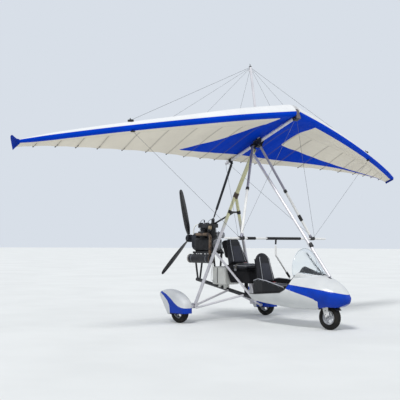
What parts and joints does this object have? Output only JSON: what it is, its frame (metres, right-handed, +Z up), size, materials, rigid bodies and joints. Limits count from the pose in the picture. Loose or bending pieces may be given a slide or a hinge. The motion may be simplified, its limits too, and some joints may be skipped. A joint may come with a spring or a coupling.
{
  "type": "two-seat flex-wing microlight aircraft",
  "caption": "Weight-shift microlight trike under a swept fabric wing, with an open rear engine, pusher propeller, tandem seats, a nose pod with windscreen and spatted main wheels.",
  "frame": {"origin": "on the ground under the middle of the aircraft's length, between the wing tips", "axes": "+X forward, +Y to the pilot's left, +Z up; the wing spans along Y"},
  "size_m": [3.305, 8.0366, 3.9577],
  "materials": {
    "black_paint": "satin black paint",
    "cream_paint": "cream paint, satin",
    "silver_tube": "anodised, satin",
    "dark_steel": "dark grey paint on steel",
    "pod_gelcoat": "glossy gelcoat with a blue band",
    "charcoal_panel": "charcoal panel with a grey top strip",
    "black_panel": "matt black",
    "clear_screen": "clear moulded screen",
    "charcoal_vinyl": "charcoal vinyl with grey piping",
    "tank_plastic": "translucent grey plastic",
    "engine_black": "heat-proof black",
    "cast_alloy": "cast alloy",
    "rusty_pipe": "heat-tanned steel",
    "bright_rod": "bright rod",
    "sailcloth": "white and cream sailcloth with blue panels",
    "blue_cloth": "royal blue cloth",
    "black_cloth": "black cloth",
    "white_tube": "white paint",
    "foam_grip": "black foam",
    "stay_wire": "stranded wire",
    "black_composite": "black composite",
    "grey_paint": "light grey paint",
    "tyre_rubber": "black rubber",
    "silver_rim": "cast alloy"
  },
  "bodies": {
    "trike": {"base_tube": "black_paint", "mast": "cream_paint", "mast_collar": "black_paint", "rear_legs": "silver_tube", "axles": "dark_steel", "side_braces": "silver_tube", "drag_struts": "dark_steel", "front_strut": "silver_tube", "pod_shell": "pod_gelcoat", "cockpit_tub": "charcoal_panel", "dashboard": "black_panel", "windscreen": "clear_screen", "front_seat": "charcoal_vinyl", "rear_seat": "charcoal_vinyl", "seat_frames": "black_panel", "under_seat_bag": "black_cloth", "fuel_tank": "tank_plastic", "crankcase": "engine_black", "cylinders": "engine_black", "gearbox": "cast_alloy", "carburettors": "cast_alloy", "exhaust_pipe": "rusty_pipe", "muffler": "engine_black", "engine_mount": "black_paint", "top_strut": "black_paint", "wheel_spats": "pod_gelcoat", "bar_rest": "silver_tube"},
    "hang_link": {"hang_block": "dark_steel", "keel_clamp": "dark_steel"},
    "strut_barrel": {"strut_barrel": "black_paint"},
    "strut_rod": {"strut_rod": "bright_rod"},
    "wing": {"keel": "silver_tube", "nose_bracket": "black_panel", "kingpost": "silver_tube", "sail": "sailcloth", "tip_fins": "blue_cloth", "apex_bracket": "dark_steel", "uprights": "white_tube", "corner_fittings": "black_panel", "base_bar": "white_tube", "bar_grips": "foam_grip", "stays": "stay_wire"},
    "propeller": {"prop_hub": "cast_alloy", "prop_blades": "black_composite"},
    "nose_fork": {"nose_fork": "grey_paint", "nose_mudguard": "black_panel"},
    "nose_wheel": {"nose_tyre": "tyre_rubber", "nose_rim": "silver_rim"},
    "right_wheel": {"right_tyre": "tyre_rubber", "right_rim": "silver_rim"},
    "left_wheel": {"left_tyre": "tyre_rubber", "left_rim": "silver_rim"}
  },
  "joints": [
    {"name": "wing_pitch", "type": "hinge", "parent": "trike", "child": "hang_link", "pos_m": [-0.1345, 0, 2.647], "axis": [0, -1, 0], "range_deg": [-9, 13]},
    {"name": "wing_roll", "type": "hinge", "parent": "hang_link", "child": "wing", "pos_m": [-0.16072, 0, 2.7119], "axis": [0.9272, 0, 0.3746], "range_deg": [-15, 15]},
    {"name": "rear_strut_swing", "type": "hinge", "parent": "hang_link", "child": "strut_barrel", "pos_m": [-0.62338, 0, 2.46889], "axis": [0, -1, 0], "range_deg": [-18.3, 12.7]},
    {"name": "rear_strut_slide", "type": "slide", "parent": "strut_barrel", "child": "strut_rod", "axis": [-0.4275, 0, -0.904], "range_m": [-0.079, 0.055]},
    {"name": "propeller_spin", "type": "hinge", "parent": "trike", "child": "propeller", "pos_m": [-1.6175, 0, 1.276], "axis": [1, 0, 0], "continuous": true},
    {"name": "nose_steer", "type": "hinge", "parent": "trike", "child": "nose_fork", "pos_m": [1.2595, 0, 0.4], "axis": [-0.2079, 0, 0.9781], "range_deg": [-25, 25]},
    {"name": "nose_wheel_spin", "type": "hinge", "parent": "nose_fork", "child": "nose_wheel", "pos_m": [1.3125, 0, 0.173], "axis": [0, 1, 0], "continuous": true},
    {"name": "right_wheel_spin", "type": "hinge", "parent": "trike", "child": "right_wheel", "pos_m": [-0.7675, -0.96, 0.173], "axis": [0, 1, 0], "continuous": true},
    {"name": "left_wheel_spin", "type": "hinge", "parent": "trike", "child": "left_wheel", "pos_m": [-0.7675, 0.96, 0.173], "axis": [0, 1, 0], "continuous": true}
  ],
  "couplings": [
    {"joint": "rear_strut_swing", "follows": "wing_pitch", "ratio": -1.3933},
    {"joint": "rear_strut_slide", "follows": "wing_pitch", "m_per_rad": -0.3419}
  ]
}
